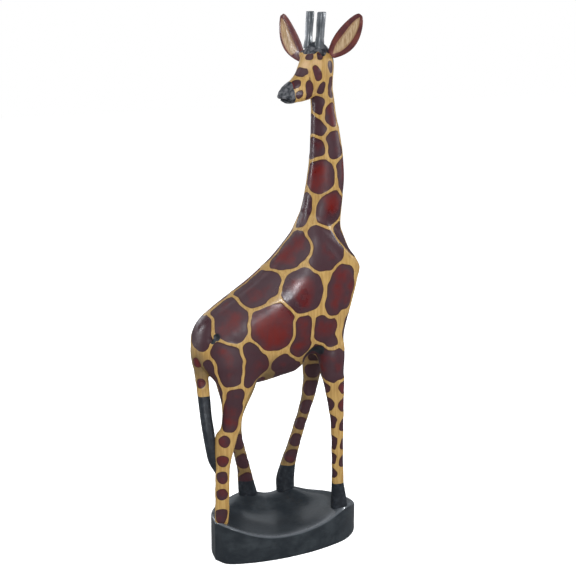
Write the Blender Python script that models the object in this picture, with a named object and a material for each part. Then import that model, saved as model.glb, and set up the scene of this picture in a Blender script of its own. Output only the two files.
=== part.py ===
"""Carved giraffe statue looking back over its shoulder, 610 mm (24 in) tall.

Frame: metres, +Z up, +X the way the giraffe's body faces, +Y its left side.
The origin lies on the underside of the base, below the middle of the body.
The figure is pieced: every member is its own block of hardwood. The members meet
on flat glue faces with a dowel across each one. The feet, ears and horns carry
round tenons of their own.

The tables of sections are in millimetres.
"""

import math

import bmesh
import bpy
from mathutils import Matrix, Vector

MM = 0.001
GLUE_LINE = 0.3 * MM  # gap between neighbouring pieces, where the glue would be

# Flat glue faces between the members (heights in mm)
NECK_JOINT = 390
HEAD_JOINT = 504
TAIL_JOINT = 206

# Where the head sits and which way it looks: 0 degrees is straight ahead along +X
HEAD_CENTRE = (41.5, 0)
HEAD_TURN = -155

# Dowels and tenons: radius and length in mm
NECK_DOWEL = (6.0, 56)
HEAD_DOWEL = (4.0, 34)
HIP_DOWEL = (4.0, 34)
TAIL_DOWEL = (2.5, 22)
TUFT_PIN = (1.5, 10)
# Where they sit, in mm
NECK_DOWEL_AT = (47.5, 0, NECK_JOINT)
HEAD_DOWEL_AT = (48.5, 0, HEAD_JOINT)
TAIL_DOWEL_AT = (-97, -7, TAIL_JOINT)
TUFT_PIN_AT = (-90.3, -27, 128)
FOOT_TENON = (4.0, 22)
EAR_TENON = (2.6, 11)
HORN_TENON = (2.6, 11)
FOOT_OVERLAP = 4    # how far a foot's tenon and its hole start above the sole
ROOT_OVERLAP = 3    # the same above the root of an ear or horn
DOWEL_SIDES = 16
CREASE = 40         # degrees between two faces from which their edge is left sharp

# Outline of the base block, seen from above, as hand-set points (x, y) in mm
BASE_OUTLINE = [
    (-92, -32), (-82, -48), (-58, -54), (-32, -55.5), (-8, -54), (20, -49),
    (48, -40), (70, -29), (86, -12), (92.5, 4), (87, 20), (66, 34),
    (40, 45), (4, 47), (-34, 51), (-56, 42), (-76, 22), (-88, -4),
]
BASE_FLAT = (44, -0.02, -0.08)  # the block's sloping top: height at the middle, slope in x and y
BASE_DISH = (-15, -22, 25)      # lowest point of the hollow gouged into it
DISH_CURVE = (0.0046, 0.0024, 0.0036)  # how fast it rises to the back, front and sides, per mm
DISH_BLEND = 2.5                # softness of the hollow's border
FOOT_PADS = [(22, 36, 8), (-28, 38, 8), (62, -19, 3)]  # low mounds left under three feet
PAD_SPREAD = 13
BASE_DROOP = (55, 0.006)        # the right end sinks from this x on, growing with its square
BASE_EDGE = 2.5                 # rounding of the block's rim
BASE_FOOT = (0.985, 2.5)        # the underside's share of the outline, and where it is full
# The top's rings as shares of the outline, from the rounded rim to the middle
TOP_RINGS = (0.99, 0.965, 0.87, 0.74, 0.6, 0.45, 0.3, 0.15, 0.04)
RIM_DROP = 0.3                  # how far the first ring hangs, as a share of the rounding

# The body in side view. Each rib runs from a point on the back to one on the belly
# or chest: (back x, back z, belly x, belly z, half width, squareness of the section).
BODY_RIBS = [
    (-104.5, 252, -104.5, 244, 6, 2.0),
    (-102, 264, -103, 229, 17, 2.0),
    (-95, 275, -97, 220, 26, 2.1),
    (-81.5, 286, -84, 209, 34, 2.1),
    (-59.5, 301, -60, 198, 39, 2.2),
    (-34, 318.5, -32, 198, 41, 2.2),
    (-10, 339, -4, 203, 42, 2.2),
    (6, 356.5, 26, 210, 42, 2.2),
    (15, 368, 52, 216, 40.5, 2.2),
    (19.5, 376, 69, 243, 36, 2.3),
    (22, 381.5, 83.5, 292, 31, 2.4),
    (23.3, 385, 91, 323, 26.5, 2.4),
    (24.2, 387.6, 79.3, 347, 23, 2.3),
    (24.8, 389.5, 70.8, 370, 21, 2.2),
    (25, NECK_JOINT, 69.5, NECK_JOINT, 20.3, 2.2),
]

# The neck: (nape x, throat x, z, half width), both taken in side view
NECK_RINGS = [
    (25, 69.5, NECK_JOINT, 20.3),
    (28, 70.8, 404, 19.6),
    (31, 73.0, 424, 18.6),
    (34, 71.8, 448, 17.0),
    (35.4, 68.3, 474, 15.2),
    (35.8, 64.4, 492, 14.0),
    (36, 62.2, HEAD_JOINT, 13.4),
]
# The neck goes on inside the head block up to the crown
NAPE_RINGS = [
    (36, 62.2, HEAD_JOINT, 13.4),
    (35, 59.6, 520, 13.2),
    (34, 57.6, 536, 13.0),
    (33, 56.4, 552, 12.6),
    (34, 54.5, 563, 11.5),
]

# Legs: (centre x, centre y, z, half length along x, half width along y)
LEGS = {
    "leg_front_right": (196, [
        (53, -10, 272, 11, 12),
        (52, -21.5, 234, 15, 15.5),
        (51.5, -26, 209, 13.6, 12),
        (53.2, -27.5, 196, 12.2, 10.4),
        (54.5, -28.5, 179, 10.2, 9.0),
        (57.2, -28.5, 148, 7.4, 7.4),
        (58.4, -27.5, 112, 6.6, 6.8),
        (60.0, -25, 75, 6.7, 6.8),
        (61.6, -23, 62, 7.6, 7.4),
        (63.6, -21, 43, 9.6, 8.4),
    ]),
    "leg_front_left": (190, [
        (56, 12, 262, 14, 12),
        (52, 24.5, 218, 16, 13.5),
        (48.8, 28, 201, 12, 10.8),
        (48.3, 30, 190, 10.4, 9.4),
        (47.6, 32, 178, 9.0, 8.6),
        (43.8, 32.5, 158, 7.6, 7.4),
        (38.2, 33.5, 138, 6.8, 6.8),
        (28.8, 35.5, 106, 7.2, 6.6),
        (21.8, 37.5, 80, 8.8, 7.2),
        (18.4, 39.5, 60, 10.8, 7.6),
        (18.6, 40, 43, 10.8, 7.4),
    ]),
    "leg_hind_right": (186, [
        (-71, -10, 256, 16, 14),
        (-69.5, -21, 234, 24, 16),
        (-66, -25, 218, 23.4, 16),
        (-64.6, -28, 204, 20.2, 14.6),
        (-67.2, -29.5, 190, 15.2, 12.6),
        (-68.5, -30, 178, 12.0, 11.2),
        (-69.8, -30.5, 166, 11.0, 10.2),
        (-72.0, -31, 155.5, 11.0, 9.8),
        (-76.2, -31, 148.5, 12.4, 9.4),
        (-78.0, -31, 139, 11.6, 9.2),
        (-80.0, -31, 127, 10.0, 8.8),
        (-81.6, -31, 109, 7.9, 8.2),
        (-82.6, -31, 74, 7.6, 8.0),
        (-82.8, -30.6, 46, 7.6, 8.2),
    ]),
    "leg_hind_left": (180, [
        (-58, 12, 244, 22, 14),
        (-50, 23, 215, 27, 15),
        (-46, 27, 200, 26, 14.6),
        (-45, 30, 184, 23.0, 12.8),
        (-45.2, 31.5, 172, 19.0, 11.2),
        (-46.5, 32.5, 158, 13.8, 9.6),
        (-48.5, 33, 143, 10.4, 8.8),
        (-46.4, 33.5, 123, 8.4, 8.0),
        (-40.2, 35.5, 101, 7.4, 7.4),
        (-34.8, 37.5, 80, 7.8, 7.2),
        (-31.4, 39.5, 62, 9.2, 7.4),
        (-28.2, 40.5, 43, 11.4, 7.4),
    ]),
}

# The tail hangs from the rump and its tuft ends on the back of the near hind leg
TAIL_RINGS = [
    (-92, 0, 262, 9, 10),
    (-97.5, -1, 246, 8.8, 9.6),
    (-98.6, -2, 234, 8.4, 9.0),
    (-97.3, -5, 214, 7.0, 7.6),
    (-96.3, -11, 188, 6.0, 6.6),
    (-96.0, -17, 167, 5.8, 6.2),
    (-94.8, -22, 149, 5.8, 6.0),
    (-93.3, -25, 131, 5.3, 5.8),
    (-91.0, -27, 116, 4.6, 5.0),
    (-86.2, -28, 103, 2.6, 3.0),
]
TUFT_REACH = 180  # below this height the tail keeps clear of the leg it lies on

# The head in its own frame: +X along the nose, +Y its left side, z from the ground.
# Each rib runs from a point on the forehead line to one on the jaw line.
HEAD_RIBS = [
    (-19, 560, -18, 552, 4.5, 2.0),
    (-14.5, 568, -14.5, 538, 11, 2.1),
    (-5, 576, -9, 526, 14.5, 2.2),
    (5, 577, 1, 520, 15.6, 2.2),
    (14, 570, 10, 516.5, 14.8, 2.2),
    (20.5, 558, 18, 515.5, 12.4, 2.2),
    (26.5, 548.5, 26, 514.5, 10.4, 2.2),
    (34, 541, 34, 514.3, 9.8, 2.2),
    (44, 535.5, 41, 513.6, 9.8, 2.2),
    (51.5, 529.8, 46.5, 514.2, 9.0, 2.2),
    (56.5, 524.8, 51.5, 516.5, 6.6, 2.1),
    (58.8, 521.6, 56.5, 519.6, 2.5, 2.0),
]

# Ears: root and tip in the head's frame, width, how far the hollow turns outward and how
# far the middle bows outward
EARS = {
    "ear_left": ((-7, 14.5, 563), (-18, 47.5, 607), 25, 25, 1.5),
    "ear_right": ((10, -13, 558), (10, -44, 605), 25, -5, 4.5),
}
# The ear from root to tip: (place along it, share of the width, share of the thickness)
EAR_PROFILE = [
    (0.00, 0.38, 0.81), (0.09, 0.61, 0.90), (0.18, 0.79, 0.97), (0.27, 0.91, 1.00),
    (0.36, 0.99, 0.99), (0.45, 1.01, 0.95), (0.55, 0.97, 0.87), (0.64, 0.88, 0.76),
    (0.73, 0.74, 0.64), (0.82, 0.54, 0.55), (0.91, 0.30, 0.55), (1.00, 0.03, 0.55),
]
EAR_THICK = 5.5
EAR_HOLLOW = 3.2
EAR_BACK = 0.75   # share of the thickness behind the middle, and of the rim in front of it
EAR_RIM = 0.25
EAR_FACES = 6     # faces across each side of an ear

# Horns: foot and top in the head's frame, half length and half width of the section
HORNS = {
    "horn_left": ((3.5, 6.6, 572.5), (0, 6.8, 609.6), 4.6, 3.8),
    "horn_right": ((7, -6.8, 572.5), (4, -6.8, 610), 4.2, 3.5),
}
# A horn from foot to top: (place along it, share of its half length and width)
HORN_PROFILE = [(0, 0.95), (0.25, 0.92), (0.5, 0.98), (0.75, 1.06), (0.94, 1.04), (1, 0.92)]


def clear_scene():
    for obj in list(bpy.data.objects):
        bpy.data.objects.remove(obj)


def wood_finish(name, colour, roughness):
    """A stained and waxed wood as a plain Principled material."""
    finish = bpy.data.materials.new(name)
    finish.use_nodes = True
    shader = finish.node_tree.nodes["Principled BSDF"]
    shader.inputs["Base Color"].default_value = (*colour, 1)
    shader.inputs["Roughness"].default_value = roughness
    shader.inputs["Metallic"].default_value = 0
    return finish


def add_object(name, mesh, finish=None):
    obj = bpy.data.objects.new(name, mesh)
    bpy.context.scene.collection.objects.link(obj)
    if finish:
        mesh.materials.append(finish)
    return obj


def as_helper(obj):
    """A cutter, or a shape that is only joined into another, isn't a part itself."""
    obj.hide_render = True
    obj.display_type = "WIRE"
    return obj


def combine(obj, other, operation):
    """Joins another shape to obj with UNION, or cuts it away with DIFFERENCE."""
    step = obj.modifiers.new(f"{operation.lower()}_{other.name}", "BOOLEAN")
    step.operation = operation
    step.object = as_helper(other)
    step.solver = "EXACT"


def smooth_rows(rows, steps):
    """Rows of numbers with steps - 1 more between each two, on a Catmull-Rom curve."""
    first, last = rows[0], rows[-1]
    ends = [tuple(2 * a - b for a, b in zip(first, rows[1]))]
    ends += list(rows)
    ends.append(tuple(2 * a - b for a, b in zip(last, rows[-2])))
    smooth = []
    for i in range(1, len(ends) - 2):
        for step in range(steps):
            t = step / steps
            smooth.append(tuple(
                0.5 * (2 * b + (c - a) * t + (2 * a - 5 * b + 4 * c - d) * t * t
                       + (3 * b - a - 3 * c + d) * t ** 3)
                for a, b, c, d in zip(*ends[i - 1:i + 3])
            ))
    smooth.append(tuple(last))
    return smooth


def oval(centre, along, across, squareness, count):
    """A ring of points round a section, from an ellipse (2) towards a rounded box."""
    ring = []
    for i in range(count):
        angle = 2 * math.pi * i / count
        c, s = math.cos(angle), math.sin(angle)
        u = math.copysign(abs(c) ** (2 / squareness), c)
        v = math.copysign(abs(s) ** (2 / squareness), s)
        ring.append(centre + along * u + across * v)
    return ring


def skin(name, rings, finish=None):
    """A closed solid over rings of equally many points, with flat ends."""
    bm = bmesh.new()
    loops = [[bm.verts.new(point) for point in ring] for ring in rings]
    count = len(rings[0])
    for lower, upper in zip(loops, loops[1:]):
        for i in range(count):
            j = (i + 1) % count
            bm.faces.new((lower[i], lower[j], upper[j], upper[i]))
    bm.faces.new(loops[0])
    bm.faces.new(loops[-1])
    bmesh.ops.recalc_face_normals(bm, faces=bm.faces)
    mesh = bpy.data.meshes.new(name)
    bm.to_mesh(mesh)
    bm.free()
    mesh.shade_smooth()
    mesh.set_sharp_from_angle(angle=math.radians(CREASE))
    return add_object(name, mesh, finish)


def rod(name, start, end, radius, finish=None, sides=DOWEL_SIDES):
    """A straight round rod between two points in metres."""
    start, end = Vector(start), Vector(end)
    direction = (end - start).normalized()
    across = direction.orthogonal().normalized()
    other = direction.cross(across)
    rings = [oval(p, across * radius, other * radius, 2, sides) for p in (start, end)]
    return skin(name, rings, finish)


def dowel(name, centre, axis, size, finish, holes_in):
    """A loose dowel across a glue face, and the hole for it in the pieces it joins."""
    radius, length = size[0] * MM, size[1] * MM
    centre, axis = Vector(centre) * MM, Vector(axis)
    reach = axis * (length / 2)
    pin = rod(name, centre - reach, centre + reach, radius, finish)
    hole_reach = reach + axis * GLUE_LINE * 2
    hole = rod("hole_" + name, centre - hole_reach, centre + hole_reach, radius + GLUE_LINE)
    for obj in holes_in:
        combine(obj, hole, "DIFFERENCE")
    return pin


def ribs_to_rings(ribs, steps, count):
    """Rings for sections in the x-z plane, each from an upper to a lower point."""
    rings = []
    for top_x, top_z, low_x, low_z, half_width, squareness in smooth_rows(ribs, steps):
        top = Vector((top_x, 0, top_z)) * MM
        low = Vector((low_x, 0, low_z)) * MM
        across = Vector((0, half_width * MM, 0))
        rings.append(oval((top + low) / 2, (top - low) / 2, across, squareness, count))
    return rings


def level_rings(rows, steps, count, grow=0.0, squareness=2.2):
    """Level rings for (x, y, z, half length, half width) rows, a little larger if asked."""
    rings = []
    for x, y, z, half_length, half_width in smooth_rows(rows, steps):
        along = Vector((half_length * MM + grow, 0, 0))
        across = Vector((0, half_width * MM + grow, 0))
        rings.append(oval(Vector((x, y, z)) * MM, along, across, squareness, count))
    return rings


def neck_rows(rows):
    """The neck's rows as (x, y, z, half length, half width)."""
    return [((a + b) / 2, 0, z, (b - a) / 2, w) for a, b, z, w in rows]


def split_level(rows, height):
    """The rows above and below a glue face at that height, half a glue line clear of it."""
    half = GLUE_LINE / MM / 2
    dense = smooth_rows(rows, 8)
    for upper, lower in zip(dense, dense[1:]):
        if upper[2] >= height > lower[2]:
            t = (upper[2] - height) / (upper[2] - lower[2])
            cut = tuple(a + (b - a) * t for a, b in zip(upper, lower))
    above = [row for row in rows if row[2] > height + 3]
    below = [row for row in rows if row[2] < height - 3]
    top_face = (cut[0], cut[1], height + half, cut[3], cut[4])
    low_face = (cut[0], cut[1], height - half, cut[3], cut[4])
    return above + [top_face], [low_face] + below


def base_height(x, y):
    """Height of the base's top in mm: a flat with a dish gouged into it and a few foot pads."""
    low_x, low_y, low = BASE_DISH
    to_back, to_front, to_side = DISH_CURVE
    along = to_back if x < low_x else to_front
    dish = low + along * (x - low_x) ** 2 + to_side * (y - low_y) ** 2
    level, slope_x, slope_y = BASE_FLAT
    flat = level + slope_x * x + slope_y * y
    height = -DISH_BLEND * math.log(math.exp(-dish / DISH_BLEND) + math.exp(-flat / DISH_BLEND))
    for pad_x, pad_y, rise in FOOT_PADS:
        reach = ((x - pad_x) ** 2 + (y - pad_y) ** 2) / (2 * PAD_SPREAD ** 2)
        height += rise * math.exp(-reach)
    droop_from, droop = BASE_DROOP
    return height - droop * max(x - droop_from, 0) ** 2


def make_base(finish):
    outline = [Vector((x, y, 0)) for x, y in smooth_rows(BASE_OUTLINE + BASE_OUTLINE[:1], 3)[:-1]]
    rings = []
    # underside and side: pulled in a little at the foot, then up to below the rim
    foot_share, full_from = BASE_FOOT
    for inset, height in ((foot_share, 0), (1, full_from)):
        rings.append([Vector((p.x * inset, p.y * inset, height)) * MM for p in outline])
    rings.append([
        Vector((p.x, p.y, base_height(p.x, p.y) - BASE_EDGE)) * MM for p in outline
    ])
    # rounded rim and the dished top, ring by ring towards the middle
    for inset in TOP_RINGS:
        drop = BASE_EDGE * RIM_DROP if inset == TOP_RINGS[0] else 0
        ring = []
        for p in outline:
            q = p * inset
            ring.append(Vector((q.x, q.y, base_height(q.x, q.y) - drop)) * MM)
        rings.append(ring)
    return skin("base", rings, finish)


def make_leg(name, torso, base, finish):
    """A leg below its glue face, the stub above it on the body, and its foot in the base."""
    joint, rows = LEGS[name]
    upper, lower = split_level(rows, joint)
    stub = skin("stub_" + name, level_rings(upper, 2, 20))
    combine(torso, stub, "UNION")
    leg = skin(name, level_rings(lower, 2, 16), finish)
    foot_x, foot_y, sole = lower[-1][:3]
    radius, length = FOOT_TENON
    foot = Vector((foot_x, foot_y, sole)) * MM
    start = foot + Vector((0, 0, FOOT_OVERLAP * MM))
    tenon_end = foot - Vector((0, 0, length * MM))
    combine(leg, rod("tenon_" + name, start, tenon_end, radius * MM), "UNION")
    mortise_end = tenon_end - Vector((0, 0, GLUE_LINE))
    mortise = rod("mortise_" + name, start, mortise_end, radius * MM + GLUE_LINE)
    combine(base, mortise, "DIFFERENCE")
    bottom = lower[-1]
    sunk = lower[:-1] + [(*bottom[:2], bottom[2] - GLUE_LINE / MM, *bottom[3:])]
    housing = skin("housing_" + name, level_rings(sunk, 2, 16, grow=GLUE_LINE))
    combine(base, housing, "DIFFERENCE")
    return leg, lower


def make_tail(torso, leg_rows, finish):
    upper, lower = split_level(TAIL_RINGS, TAIL_JOINT)
    combine(torso, skin("tail_root", level_rings(upper, 2, 16, squareness=2)), "UNION")
    tail = skin("tail", level_rings(lower, 2, 14, squareness=2), finish)
    rest = [row for row in leg_rows if row[2] < TUFT_REACH]
    combine(tail, skin("tuft_rest", level_rings(rest, 2, 16, grow=GLUE_LINE)), "DIFFERENCE")
    return tail


def place_in_head(obj, frame):
    obj.parent = frame
    return obj


def ear_rings(name, grow=0.0):
    """Rings of a pointed leaf with a hollowed front, a little larger all round if asked."""
    root, tip, width, turn_out, bow = EARS[name]
    root, tip = Vector(root) * MM, Vector(tip) * MM
    along = (tip - root).normalized()
    side = math.copysign(1, root.y)
    facing = Matrix.Rotation(side * math.radians(turn_out), 3, "Z") @ Vector((1, 0, 0))
    facing = (facing - along * facing.dot(along)).normalized()
    across = along.cross(facing)
    rings = []
    for t, width_share, thick_share in EAR_PROFILE:
        half = width / 2 * MM * width_share + grow
        thick = EAR_THICK * MM * thick_share
        hollow = EAR_HOLLOW * MM * math.sin(math.pi * t) ** 0.7 if 0 < t < 1 else 0
        middle = root.lerp(tip, t) + across * side * bow * MM * math.sin(math.pi * t)
        if t == 0:
            middle -= along * grow
        ring = []
        for j in range(EAR_FACES + 1):
            u = -1 + 2 * j / EAR_FACES
            back = thick * (1 - abs(u) ** 2.2) * EAR_BACK + (grow if abs(u) < 1 else 0)
            ring.append(middle + across * half * u - facing * back)
        for j in range(1, EAR_FACES):
            u = 1 - 2 * j / EAR_FACES
            front = thick * EAR_RIM - hollow * (1 - abs(u) ** 2.4) + grow
            ring.append(middle + across * half * u + facing * front)
        rings.append(ring)
    return rings, root, along


def horn_rings(name, grow=0.0):
    """Rings of a flat-topped peg, slightly swollen towards the top."""
    foot, top, half_length, half_width = HORNS[name]
    foot, top = Vector(foot) * MM, Vector(top) * MM
    along = (top - foot).normalized()
    rings = []
    for t, swell in HORN_PROFILE:
        centre = foot + (top - foot) * t - (along * grow if t == 0 else Vector())
        rings.append(oval(centre, Vector((half_length * MM * swell + grow, 0, 0)),
                          Vector((0, half_width * MM * swell + grow, 0)), 2.6, 16))
    return rings, foot, along


def let_in(name, rings_of, tenon, head, frame, finish):
    """An ear or horn with a round tenon, and the seat and socket for it in the head."""
    rings, root, along = rings_of(name)
    piece = place_in_head(skin(name, rings, finish), frame)
    radius, length = tenon[0] * MM, tenon[1] * MM
    inside = root + along * ROOT_OVERLAP * MM
    seat_end = root - along * length
    combine(piece, place_in_head(rod("tenon_" + name, inside, seat_end, radius), frame), "UNION")
    seat = skin("seat_" + name, rings_of(name, GLUE_LINE)[0])
    combine(head, place_in_head(seat, frame), "DIFFERENCE")
    socket = rod("socket_" + name, inside, seat_end - along * GLUE_LINE, radius + GLUE_LINE)
    combine(head, place_in_head(socket, frame), "DIFFERENCE")
    return piece


def main():
    clear_scene()
    spotted = wood_finish("spotted_wood", (0.23, 0.055, 0.035), 0.35)
    black = wood_finish("black_wood", (0.018, 0.020, 0.024), 0.32)
    plain = wood_finish("dowel_wood", (0.62, 0.44, 0.20), 0.6)

    head_frame = bpy.data.objects.new("head_frame", None)
    bpy.context.scene.collection.objects.link(head_frame)
    head_frame.location = (HEAD_CENTRE[0] * MM, HEAD_CENTRE[1] * MM, 0)
    head_frame.rotation_euler.z = math.radians(HEAD_TURN)

    half_line = GLUE_LINE / MM / 2
    body_ribs = BODY_RIBS[:-1]
    last = BODY_RIBS[-1]
    body_ribs.append((last[0], last[1] - half_line, last[2], last[3] - half_line, *last[4:]))
    torso = skin("torso", ribs_to_rings(body_ribs, 2, 28), spotted)

    neck = neck_rows(NECK_RINGS)
    neck[0] = (*neck[0][:2], neck[0][2] + half_line, *neck[0][3:])
    neck[-1] = (*neck[-1][:2], neck[-1][2] - half_line, *neck[-1][3:])
    neck_piece = skin("neck", level_rings(neck, 2, 24), spotted)

    head = skin("head", ribs_to_rings(HEAD_RIBS, 2, 22), spotted)
    place_in_head(head, head_frame)
    nape = neck_rows(NAPE_RINGS)
    nape[0] = (*nape[0][:2], nape[0][2] + half_line, *nape[0][3:])
    combine(head, skin("nape", level_rings(nape, 2, 24)), "UNION")

    base = make_base(black)
    legs = {name: make_leg(name, torso, base, spotted) for name in LEGS}
    tail = make_tail(torso, legs["leg_hind_right"][1], spotted)

    for name in EARS:
        let_in(name, ear_rings, EAR_TENON, head, head_frame, spotted)
    for name in HORNS:
        let_in(name, horn_rings, HORN_TENON, head, head_frame, black)

    up, forward = (0, 0, 1), (1, 0, 0)
    dowel("neck_dowel", NECK_DOWEL_AT, up, NECK_DOWEL, plain, (torso, neck_piece))
    dowel("head_dowel", HEAD_DOWEL_AT, up, HEAD_DOWEL, plain, (neck_piece, head))
    for name, (leg, rows) in legs.items():
        dowel(name.replace("leg", "hip_dowel"), rows[0][:3], up, HIP_DOWEL, plain, (torso, leg))
    dowel("tail_dowel", TAIL_DOWEL_AT, up, TAIL_DOWEL, plain, (torso, tail))
    dowel("tuft_pin", TUFT_PIN_AT, forward, TUFT_PIN, plain,
          (tail, legs["leg_hind_right"][0]))


main()
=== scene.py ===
"""Looks of the carved giraffe statue: one carved skin over all its members, spotted and lacquered.

The figure is modelled as a distance field in millimetres: every member is a loft over
listed sections, the members are blended into each other as a carver would round them,
hollows are cut, and the skin is split again at the glue faces of the CAD model.
"""

import math

import bmesh
import bpy
import numpy as np
import openvdb
from mathutils import Matrix, Vector, noise


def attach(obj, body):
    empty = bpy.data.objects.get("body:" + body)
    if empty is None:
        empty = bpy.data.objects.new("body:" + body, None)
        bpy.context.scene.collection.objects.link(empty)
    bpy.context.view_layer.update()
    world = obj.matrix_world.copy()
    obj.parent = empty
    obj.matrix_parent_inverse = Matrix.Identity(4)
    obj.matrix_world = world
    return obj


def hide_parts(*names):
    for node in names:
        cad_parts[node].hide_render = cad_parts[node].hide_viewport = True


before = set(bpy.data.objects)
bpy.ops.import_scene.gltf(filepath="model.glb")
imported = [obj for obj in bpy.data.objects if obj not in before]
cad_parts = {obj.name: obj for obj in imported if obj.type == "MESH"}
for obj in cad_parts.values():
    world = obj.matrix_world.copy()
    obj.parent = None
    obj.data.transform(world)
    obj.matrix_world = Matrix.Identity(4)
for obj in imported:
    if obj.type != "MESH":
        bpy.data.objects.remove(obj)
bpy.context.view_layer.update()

MM = 0.001
VOXEL = 1.2        # mm, for the body and the legs
FINE_VOXEL = 0.6   # mm, for the head and the tail
BAND = 16          # mm around each member in which its distance is known
RING_POINTS = 160
LOFT_STEPS = 16    # rings from one listed section to the next
SQUARENESS = 2.2   # of the legs

# Level glue faces of the CAD model, in mm
NECK_JOINT = 390
HEAD_JOINT = 504
TAIL_JOINT = 206
LEG_JOINTS = {
    "leg_front_right": 196, "leg_front_left": 190,
    "leg_hind_right": 186, "leg_hind_left": 180,
}

# The marks of the carver's tools, in mm
WAVE_DEPTH, WAVE_SIZE = 0.28, 24
DENT_DEPTH, DENT_SIZE = 0.05, 6
LINE_DEPTH, LINE_SLOPE = 0.3, 1.2           # the bare lines between the patches
CHIP_DEPTH, CHIP_SIZE = 0.55, 4.5           # on the muzzle
FACET_DEPTH, FACET_SIZE = 0.4, 3.6          # on the horns
STROKE_DEPTH, STROKE_SIZE = 0.22, 16        # on the top of the base
SIDE_WAVE_DEPTH, SIDE_WAVE_SIZE = 0.45, 14  # round the side of the base

TAIL_SQUARENESS = 3.4
TAIL_OVERLAP = 3       # mm that the tail piece reaches over its stub
TAIL_SLEEVE = 0.15     # mm that it is thicker than the stub

SHARP_ANGLE = 55       # degrees above which an edge isn't smoothed
CUT_REACH = 4 * VOXEL  # mm around a glue face in which the skin is looked at for the cut

# -------- sections, in mm

# Body and neck: (back x, back z, belly x, belly z, half width, squareness of the section).
# The last ribs lie level, one above the other, up the neck and into the head.
BODY_RIBS = [
    (-104.5, 252, -104.5, 244, 6, 2.0),
    (-102, 264, -103, 229, 17, 2.0),
    (-95, 275, -97, 220, 26, 2.1),
    (-81.5, 286, -84, 209, 34, 2.1),
    (-59.5, 301, -60, 198, 39, 2.2),
    (-34, 318.5, -32, 198, 41, 2.2),
    (-10, 339, -4, 203, 42, 2.2),
    (6, 356.5, 26, 210, 42, 2.2),
    (15, 368, 52, 216, 40.5, 2.3),
    (19.5, 376, 69, 243, 36, 2.5),
    (22, 381.5, 83.5, 292, 31, 2.7),
    (22.8, 383.6, 87.8, 309, 28.4, 2.8),
    (23.3, 385, 91, 323, 26.5, 2.9),
    (23.8, 386.4, 86, 335, 24.6, 2.9),
    (24.2, 387.6, 79.3, 347, 23, 2.9),
    (24.8, 389.5, 70.8, 370, 21, 2.6),
    (25, 392, 69.5, 390, 20.3, 2.4),
    (28, 404, 70.8, 404, 19.6, 2.3),
    (31, 424, 73.0, 424, 18.6, 2.2),
    (34, 448, 71.8, 448, 17.0, 2.2),
    (35.4, 474, 68.3, 474, 15.2, 2.2),
    (35.8, 492, 64.4, 492, 14.0, 2.2),
    (36, 504, 62.2, 504, 13.4, 2.2),
    (35, 520, 59.6, 520, 13.2, 2.2),
    (34, 536, 57.6, 536, 13.0, 2.2),
    (33, 552, 56.4, 552, 12.6, 2.2),
    (34, 563, 54.5, 563, 11.5, 2.2),
]
# The ridge down each side of the chest's front: (height, x), lowest first
CHEST_RIDGE = [(325, 86), (337, 80), (346, 69), (356, 59), (364, 54), (373, 48), (384, 45)]
CHEST_FADE = (322, 336, 360, 396)  # heights over which the keel comes and goes
KEEL_SLOPE = 0.75  # how fast each side draws in towards the front
KEEL_DEPTH = 8     # the most that it draws in
KEEL_LEAST = 0.3   # part of the half width that is always left
# Legs and tail: (centre x, centre y, z, half length along x, half width along y)
LEG_ROWS = {
    "leg_front_right": [
        (53, -10, 272, 11, 12),
        (52, -21.5, 234, 15.0, 15.5),
        (51.5, -26, 209, 13.6, 12),
        (53.2, -27.5, 196, 12.2, 10.4),
        (54.5, -28.5, 179, 10.2, 9.0),
        (57.2, -28.5, 148, 7.4, 7.4),
        (58.4, -27.5, 112, 6.6, 6.8),
        (60.0, -25, 75, 6.7, 6.8),
        (61.6, -23, 62, 7.6, 7.4),
        (63.6, -21, 43, 9.6, 8.4),
        (63.8, -21, 36, 10, 8.6),
    ],
    "leg_front_left": [
        (56, 12, 262, 14, 12),
        (52, 24.5, 218, 16, 13.5),
        (48.8, 28, 201, 12, 10.8),
        (48.3, 30, 190, 10.4, 9.4),
        (47.6, 32, 178, 9.0, 8.6),
        (43.8, 32.5, 158, 7.6, 7.4),
        (38.2, 33.5, 138, 6.8, 6.8),
        (28.8, 35.5, 106, 7.2, 6.6),
        (21.8, 37.5, 80, 8.8, 7.2),
        (18.4, 39.5, 60, 10.8, 7.6),
        (18.6, 40, 44, 10.8, 7.4),
        (18.6, 40, 37, 10.8, 7.4),
    ],
    "leg_hind_right": [
        (-71, -10, 256, 16, 14),
        (-69.5, -21, 234, 24, 16),
        (-66, -25, 218, 23.4, 16),
        (-64.6, -28, 204, 20.2, 14.6),
        (-67.2, -29.5, 190, 15.2, 12.6),
        (-68.5, -30, 178, 12.0, 11.2),
        (-69.8, -30.5, 166, 11.0, 10.2),
        (-72.0, -31, 155.5, 11.0, 9.8),
        (-76.2, -31, 148.5, 12.4, 9.4),
        (-78.0, -31, 139, 11.6, 9.2),
        (-80.0, -31, 127, 10.0, 8.8),
        (-81.6, -31, 109, 7.9, 8.2),
        (-82.6, -31, 74, 7.6, 8.0),
        (-82.8, -30.6, 47, 7.6, 8.2),
        (-81.6, -29.6, 40, 6.4, 7.0),
    ],
    "leg_hind_left": [
        (-58, 12, 244, 22, 14),
        (-50, 23, 215, 27, 15),
        (-46, 27, 200, 26, 14.6),
        (-45, 30, 184, 23.0, 12.8),
        (-45.2, 31.5, 172, 19.0, 11.2),
        (-46.5, 32.5, 158, 13.8, 9.6),
        (-48.5, 33, 143, 10.4, 8.8),
        (-46.4, 33.5, 123, 8.4, 8.0),
        (-40.2, 35.5, 101, 7.4, 7.4),
        (-34.8, 37.5, 80, 7.8, 7.2),
        (-31.4, 39.5, 62, 9.2, 7.4),
        (-28.2, 40.5, 44, 11.4, 7.4),
        (-28, 40.5, 37, 11.4, 7.4),
    ],
}
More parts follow.
